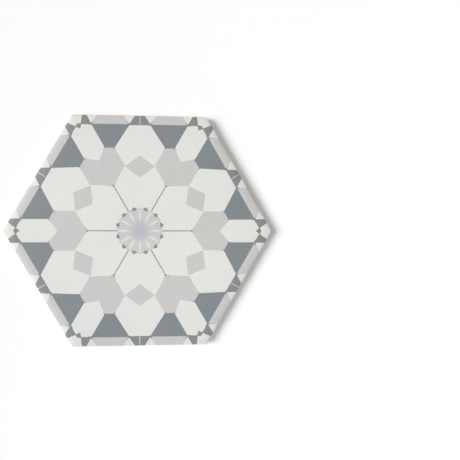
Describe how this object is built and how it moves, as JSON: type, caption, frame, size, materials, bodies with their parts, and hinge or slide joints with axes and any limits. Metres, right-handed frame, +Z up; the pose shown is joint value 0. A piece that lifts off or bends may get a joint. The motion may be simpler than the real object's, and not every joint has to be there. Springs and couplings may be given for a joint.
{
  "type": "hexagon floor tile",
  "caption": "Hexagonal glazed floor tile with a softly cushioned edge, flat flanks and a six-fold geometric pattern in white, light grey and slate on its face.",
  "frame": {"origin": "centre of the flat back, on the surface the tile lies on", "axes": "+Z up through the decorated face; two corners on the X axis; two sides parallel to X"},
  "size_m": [0.2306, 0.2, 0.009],
  "materials": {
    "glazed_porcelain": "satin"
  },
  "bodies": {
    "root": {"hexagon_tile": "glazed_porcelain"}
  },
  "joints": []
}
